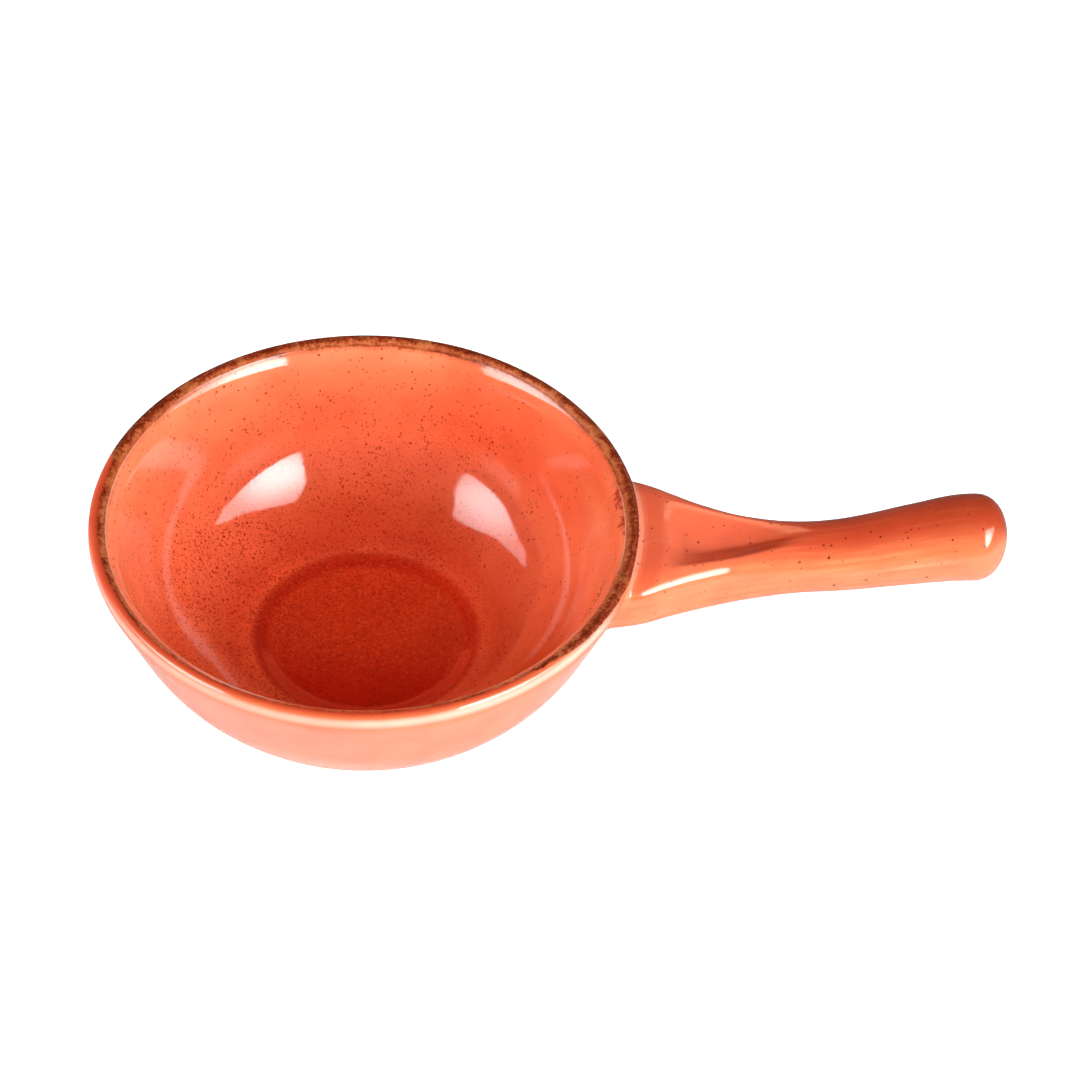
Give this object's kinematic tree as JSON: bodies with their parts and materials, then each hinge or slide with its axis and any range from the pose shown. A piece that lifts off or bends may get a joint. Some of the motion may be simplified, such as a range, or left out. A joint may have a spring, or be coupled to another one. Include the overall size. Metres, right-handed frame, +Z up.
{
  "type": "handled serving pan",
  "caption": "Shallow round serving pan in glazed orange stoneware, with a brown mottled lip, a sunken well and a hollow stick handle with a thumb scoop.",
  "frame": {"origin": "on the bowl's axis, on the plane that the foot ring rests on", "axes": "+X along the handle, away from the bowl; +Z up out of the bowl; +Y across, to the left of the handle seen from the bowl"},
  "size_m": [0.2324, 0.14, 0.0657],
  "materials": {
    "fired_clay": "bare fired clay, matt and slightly gritty",
    "joining_slip": "fired joining slip, matt",
    "inside_glaze": "glossy orange glaze, brown specks, deep red where it pools",
    "outside_glaze": "glossy pale orange glaze with sparse brown specks",
    "rim_glaze": "glossy mottled brown oxide glaze"
  },
  "bodies": {
    "root": {"bowl_body": "fired_clay", "inner_glaze": "inside_glaze", "rim_band": "rim_glaze", "outer_glaze": "outside_glaze", "handle_shell": "fired_clay", "handle_lute": "joining_slip", "handle_glaze": "outside_glaze"}
  },
  "joints": []
}
